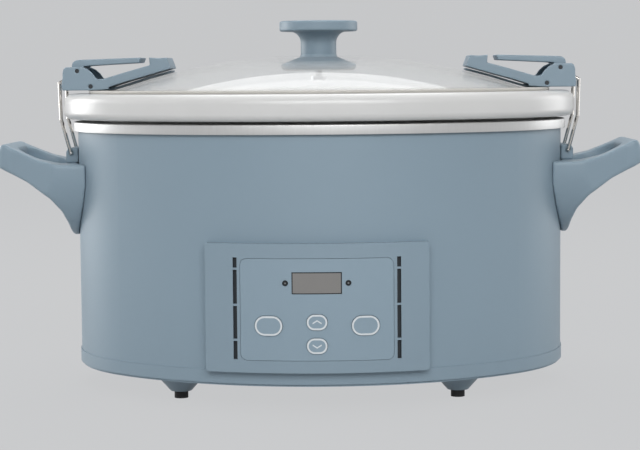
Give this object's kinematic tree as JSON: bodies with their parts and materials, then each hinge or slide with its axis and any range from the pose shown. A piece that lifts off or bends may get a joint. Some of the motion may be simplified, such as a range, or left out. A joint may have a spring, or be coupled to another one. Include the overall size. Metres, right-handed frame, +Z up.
{
  "type": "slow cooker",
  "caption": "Oval countertop slow cooker with a lift-out crock, a latched domed glass lid, side carry handles and a push-button control panel.",
  "frame": {"origin": "middle of the footprint, on the surface that the feet stand on", "axes": "+X along the length from handle to handle, -Y the front with the controls, +Z up"},
  "size_m": [0.455, 0.2808, 0.256],
  "materials": {
    "housing_paint": "satin blue-grey paint",
    "blue_plastic": "satin blue-grey plastic",
    "fascia_plastic": "satin, slightly lighter",
    "button_plastic": "satin with a pale outline",
    "steel_collar": "lightly brushed",
    "aluminium_liner": "plain drawn sheet",
    "heater_metal": "dull",
    "black_rubber": "matte",
    "plain_steel": "zinc plated",
    "sensor_dark": "matte",
    "fuse_ceramic": "matte white",
    "circuit_board": "green solder mask",
    "display_lens": "glossy grey",
    "indicator_black": "dark",
    "crock_glaze": "glossy pale glaze",
    "lid_glass": "clear tempered",
    "gasket_silicone": "matte warm grey",
    "bail_wire": "polished stainless wire"
  },
  "bodies": {
    "housing": {"outer_shell": "housing_paint", "rim_collar": "steel_collar", "heating_liner": "aluminium_liner", "heating_band": "heater_metal", "base_pan": "blue_plastic", "foot_bosses": "blue_plastic", "rubber_feet": "black_rubber", "base_screws": "plain_steel", "liner_posts": "plain_steel", "temperature_sensor": "sensor_dark", "sensor_bracket": "plain_steel", "thermal_fuse": "fuse_ceramic", "power_board": "circuit_board", "power_parts": "sensor_dark", "control_bezel": "blue_plastic", "control_fascia": "fascia_plastic", "display_window": "display_lens", "display_module": "sensor_dark", "indicator_left": "indicator_black", "indicator_right": "indicator_black", "control_board": "circuit_board", "board_screws": "plain_steel", "button_switches": "sensor_dark", "vent_strip_left": "indicator_black", "vent_strip_right": "indicator_black", "handle_left": "blue_plastic", "handle_right": "blue_plastic", "handle_screws": "plain_steel", "bail_anchor_left": "blue_plastic", "bail_anchor_right": "blue_plastic", "cord_inlet": "black_rubber"},
    "crock": {"crock": "crock_glaze"},
    "lid": {"lid_glass": "lid_glass", "lid_gasket": "gasket_silicone", "lid_knob": "blue_plastic", "knob_base": "blue_plastic", "knob_gasket": "gasket_silicone", "knob_screw": "plain_steel", "latch_clip_left": "blue_plastic", "latch_clip_right": "blue_plastic", "latch_frame_left": "blue_plastic", "latch_frame_right": "blue_plastic", "latch_pins": "plain_steel"},
    "lever_left": {"latch_lever_left": "blue_plastic"},
    "lever_right": {"latch_lever_right": "blue_plastic"},
    "bail_wire_left": {"bail_left": "bail_wire"},
    "bail_wire_right": {"bail_right": "bail_wire"},
    "key_left": {"button_left": "button_plastic"},
    "key_right": {"button_right": "button_plastic"},
    "key_up": {"button_up": "button_plastic"},
    "key_down": {"button_down": "button_plastic"}
  },
  "joints": [
    {"name": "crock_lift", "type": "slide", "parent": "housing", "child": "crock", "axis": [0, 0, 1], "range_m": [0, 0.2]},
    {"name": "lid_lift", "type": "slide", "parent": "crock", "child": "lid", "axis": [0, 0, 1], "range_m": [0, 0.06]},
    {"name": "lever_left_hinge", "type": "hinge", "parent": "lid", "child": "lever_left", "pos_m": [-0.1692, 0, 0.222], "axis": [0, -1, 0], "range_deg": [0, 95]},
    {"name": "bail_left_hinge", "type": "hinge", "parent": "housing", "child": "bail_wire_left", "pos_m": [-0.1752, 0, 0.1642], "axis": [0, -1, 0], "range_deg": [0, 60]},
    {"name": "lever_right_hinge", "type": "hinge", "parent": "lid", "child": "lever_right", "pos_m": [0.1692, 0, 0.222], "axis": [0, 1, 0], "range_deg": [0, 95]},
    {"name": "bail_right_hinge", "type": "hinge", "parent": "housing", "child": "bail_wire_right", "pos_m": [0.1752, 0, 0.1642], "axis": [0, 1, 0], "range_deg": [0, 60]},
    {"name": "button_left_press", "type": "slide", "parent": "housing", "child": "key_left", "axis": [0, 1, 0], "range_m": [0, 0.0008], "stiffness_N_per_m": 400},
    {"name": "button_right_press", "type": "slide", "parent": "housing", "child": "key_right", "axis": [0, 1, 0], "range_m": [0, 0.0008], "stiffness_N_per_m": 400},
    {"name": "button_up_press", "type": "slide", "parent": "housing", "child": "key_up", "axis": [0, 1, 0], "range_m": [0, 0.0008], "stiffness_N_per_m": 400},
    {"name": "button_down_press", "type": "slide", "parent": "housing", "child": "key_down", "axis": [0, 1, 0], "range_m": [0, 0.0008], "stiffness_N_per_m": 400}
  ]
}
